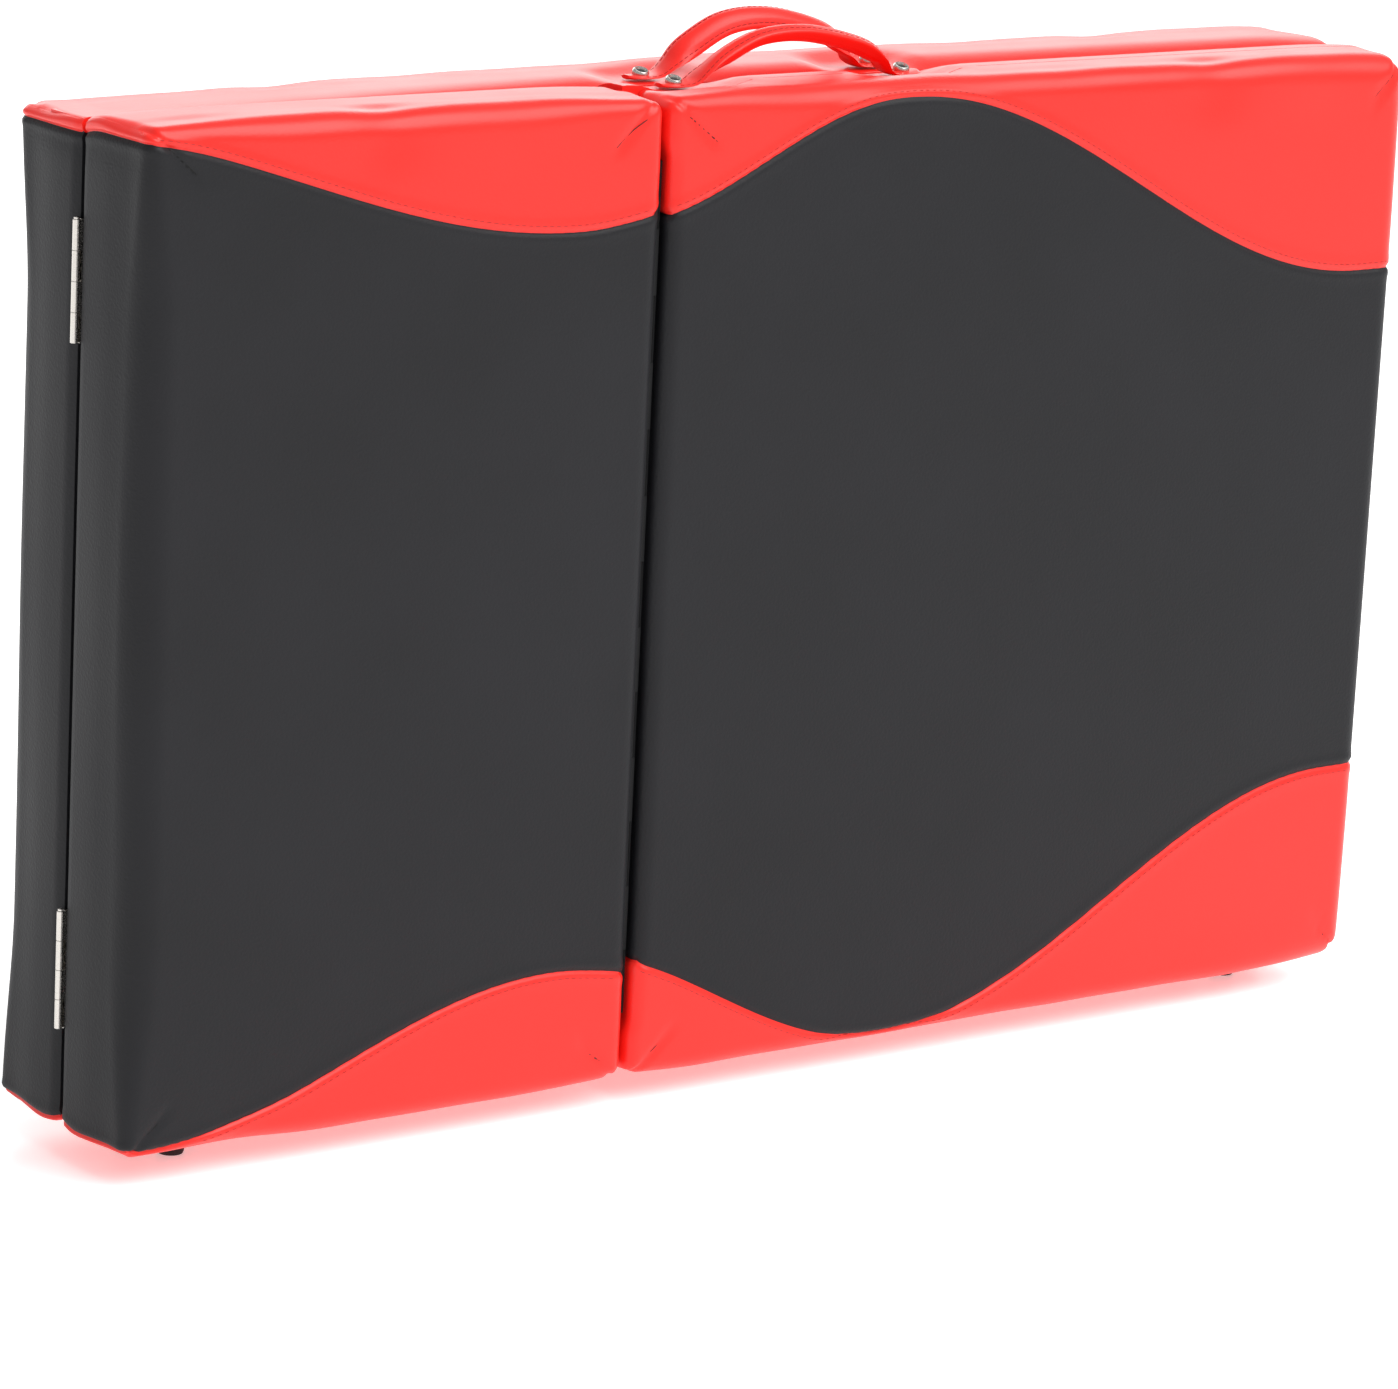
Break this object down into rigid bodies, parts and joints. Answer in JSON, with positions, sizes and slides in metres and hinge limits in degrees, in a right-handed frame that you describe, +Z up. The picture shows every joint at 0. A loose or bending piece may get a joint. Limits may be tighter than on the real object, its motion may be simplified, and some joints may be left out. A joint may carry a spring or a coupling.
{
  "type": "folding massage table",
  "caption": "Portable folding treatment table closed like a suitcase, with padded leather-look cushions, a tilting backrest, folding legs and carry handles.",
  "frame": {"origin": "on the floor under the middle of the closed case", "axes": "+X from the main hinges to the free end along the case, +Y from the front half to the rear half, +Z up"},
  "size_m": [0.9392, 0.147, 0.6548],
  "materials": {
    "black_leather": "matt, fine grain",
    "red_leather": "semi-gloss, fine grain",
    "foam": "open-cell foam",
    "plywood": "unfinished",
    "beech": "clear lacquer",
    "nickel": "nickel plated",
    "black_steel": "black powder coat",
    "aluminium": "satin anodised",
    "rubber": "matt",
    "plastic": "fine textured"
  },
  "bodies": {
    "rear_half": {"rear_cover": "black_leather", "rear_foam": "foam", "rear_deck": "plywood", "rear_top_rail": "beech", "rear_bottom_rail": "beech", "rear_hinge_end_rail": "beech", "rear_free_end_rail": "beech", "rear_handle": "red_leather", "rear_handle_screw_left": "nickel", "rear_handle_screw_right": "nickel", "rear_foot_left": "rubber", "rear_foot_right": "rubber", "upper_hinge_rear_leaf": "nickel", "lower_hinge_rear_leaf": "nickel", "latch_strike_1": "nickel", "latch_strike_2": "nickel"},
    "front_half": {"seat_cover": "black_leather", "seat_foam": "foam", "seat_deck": "plywood", "front_top_rail": "beech", "front_bottom_rail": "beech", "front_hinge_end_rail": "beech", "front_free_end_rail": "beech", "front_handle": "red_leather", "front_handle_screw_left": "nickel", "front_handle_screw_right": "nickel", "front_foot_left": "rubber", "front_foot_right": "rubber", "upper_hinge_front_leaf": "nickel", "lower_hinge_front_leaf": "nickel", "latch_base_1": "nickel", "latch_base_2": "nickel", "ratchet_low": "nickel", "ratchet_high": "nickel", "backrest_hinge_seat_leaf": "black_steel"},
    "backrest": {"backrest_cover": "black_leather", "backrest_foam": "foam", "backrest_board": "plywood", "backrest_hinge_backrest_leaf": "black_steel", "strut_bracket_low": "nickel", "strut_bracket_high": "nickel"},
    "struts": {"backrest_strut_low": "nickel", "backrest_strut_high": "nickel"},
    "latch_1": {"latch_lever_1": "nickel"},
    "latch_2": {"latch_lever_2": "nickel"},
    "rear_legs": {"rear_leg_frame": "aluminium"},
    "rear_extension_low": {"rear_leg_extension_low": "aluminium", "rear_leg_tip_low": "rubber"},
    "rear_knob_low": {"rear_knob_low": "plastic"},
    "rear_extension_high": {"rear_leg_extension_high": "aluminium", "rear_leg_tip_high": "rubber"},
    "rear_knob_high": {"rear_knob_high": "plastic"},
    "front_legs": {"front_leg_frame": "aluminium"},
    "front_extension_low": {"front_leg_extension_low": "aluminium", "front_leg_tip_low": "rubber"},
    "front_knob_low": {"front_knob_low": "plastic"},
    "front_extension_high": {"front_leg_extension_high": "aluminium", "front_leg_tip_high": "rubber"},
    "front_knob_high": {"front_knob_high": "plastic"}
  },
  "joints": [
    {"name": "main_fold", "type": "hinge", "parent": "rear_half", "child": "front_half", "pos_m": [-0.4673, 0, 0.315], "axis": [0, 0, -1], "range_deg": [0, 180]},
    {"name": "backrest_tilt", "type": "hinge", "parent": "front_half", "child": "backrest", "pos_m": [-0.1153, -0.062, 0.315], "axis": [0, 0, -1], "range_deg": [0, 70]},
    {"name": "strut_fold", "type": "hinge", "parent": "backrest", "child": "struts", "pos_m": [0.1047, -0.023, 0.315], "axis": [0, 0, 1], "range_deg": [0, 140]},
    {"name": "rear_leg_fold", "type": "hinge", "parent": "rear_half", "child": "rear_legs", "pos_m": [0.4272, 0.017, 0.315], "axis": [0, 0, 1], "range_deg": [0, 90]},
    {"name": "front_leg_fold", "type": "hinge", "parent": "front_half", "child": "front_legs", "pos_m": [0.4272, -0.017, 0.315], "axis": [0, 0, -1], "range_deg": [0, 90]},
    {"name": "rear_leg_slide_low", "type": "slide", "parent": "rear_legs", "child": "rear_extension_low", "axis": [-1, 0, 0], "range_m": [0, 0.19]},
    {"name": "rear_knob_turn_low", "type": "hinge", "parent": "rear_legs", "child": "rear_knob_low", "pos_m": [0.0032, 0.017, 0.0815], "axis": [0, 0, 1], "range_deg": [0, 360]},
    {"name": "rear_leg_slide_high", "type": "slide", "parent": "rear_legs", "child": "rear_extension_high", "axis": [-1, 0, 0], "range_m": [0, 0.19]},
    {"name": "rear_knob_turn_high", "type": "hinge", "parent": "rear_legs", "child": "rear_knob_high", "pos_m": [0.0032, 0.017, 0.5485], "axis": [0, 0, -1], "range_deg": [0, 360]},
    {"name": "front_leg_slide_low", "type": "slide", "parent": "front_legs", "child": "front_extension_low", "axis": [-1, 0, 0], "range_m": [0, 0.19]},
    {"name": "front_knob_turn_low", "type": "hinge", "parent": "front_legs", "child": "front_knob_low", "pos_m": [0.0032, -0.017, 0.117], "axis": [0, 0, 1], "range_deg": [0, 360]},
    {"name": "front_leg_slide_high", "type": "slide", "parent": "front_legs", "child": "front_extension_high", "axis": [-1, 0, 0], "range_m": [0, 0.19]},
    {"name": "front_knob_turn_high", "type": "hinge", "parent": "front_legs", "child": "front_knob_high", "pos_m": [0.0032, -0.017, 0.513], "axis": [0, 0, -1], "range_deg": [0, 360]},
    {"name": "latch_lever_1", "type": "hinge", "parent": "front_half", "child": "latch_1", "pos_m": [0.4676, -0.02, 0.145], "axis": [0, 0, -1], "range_deg": [0, 110]},
    {"name": "latch_lever_2", "type": "hinge", "parent": "front_half", "child": "latch_2", "pos_m": [0.4676, -0.02, 0.485], "axis": [0, 0, -1], "range_deg": [0, 110]}
  ],
  "couplings": [
    {"joint": "rear_leg_fold", "follows": "main_fold", "ratio": 0.5},
    {"joint": "front_leg_fold", "follows": "main_fold", "ratio": 0.5},
    {"joint": "strut_fold", "follows": "backrest_tilt", "ratio": 2}
  ]
}
